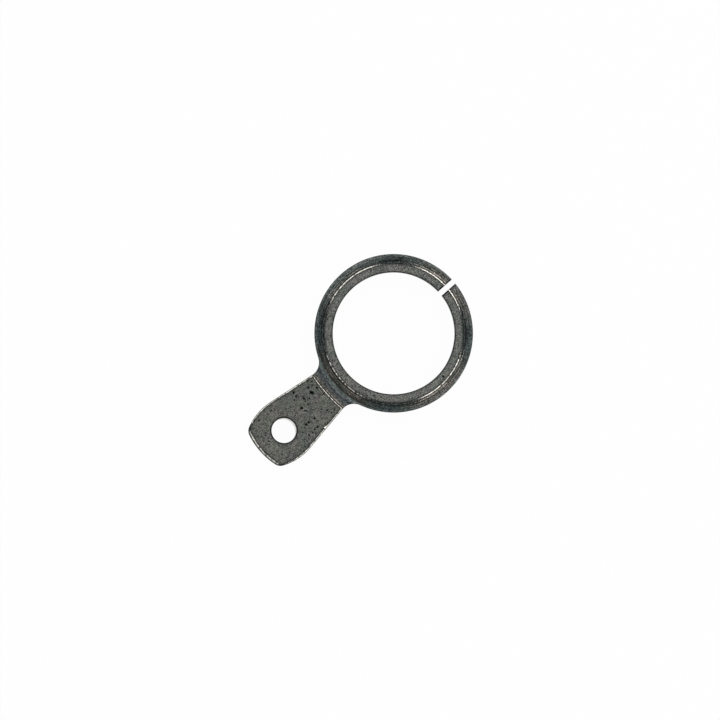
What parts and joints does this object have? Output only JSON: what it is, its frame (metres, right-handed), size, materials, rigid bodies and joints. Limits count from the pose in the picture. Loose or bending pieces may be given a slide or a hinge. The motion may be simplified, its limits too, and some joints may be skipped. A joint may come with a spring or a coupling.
{
  "type": "watch regulator",
  "caption": "Split spring ring with one flat arm whose round hole takes a stud or pin; a turned recess runs round its flat collar.",
  "frame": {"origin": "on the axis of the ring's bore, in the plane of the underside", "axes": "+Z along the bore's axis towards the bevelled face that shows in the watch, +X along the arm to its hole; the slit is on -X"},
  "size_m": [0.0052, 0.0032, 0.0004],
  "materials": {
    "steel": "dark tempered steel: matte grained flats, fine-turned recess, polished bevels"
  },
  "bodies": {
    "root": {"regulator_ring": "steel"}
  },
  "joints": []
}
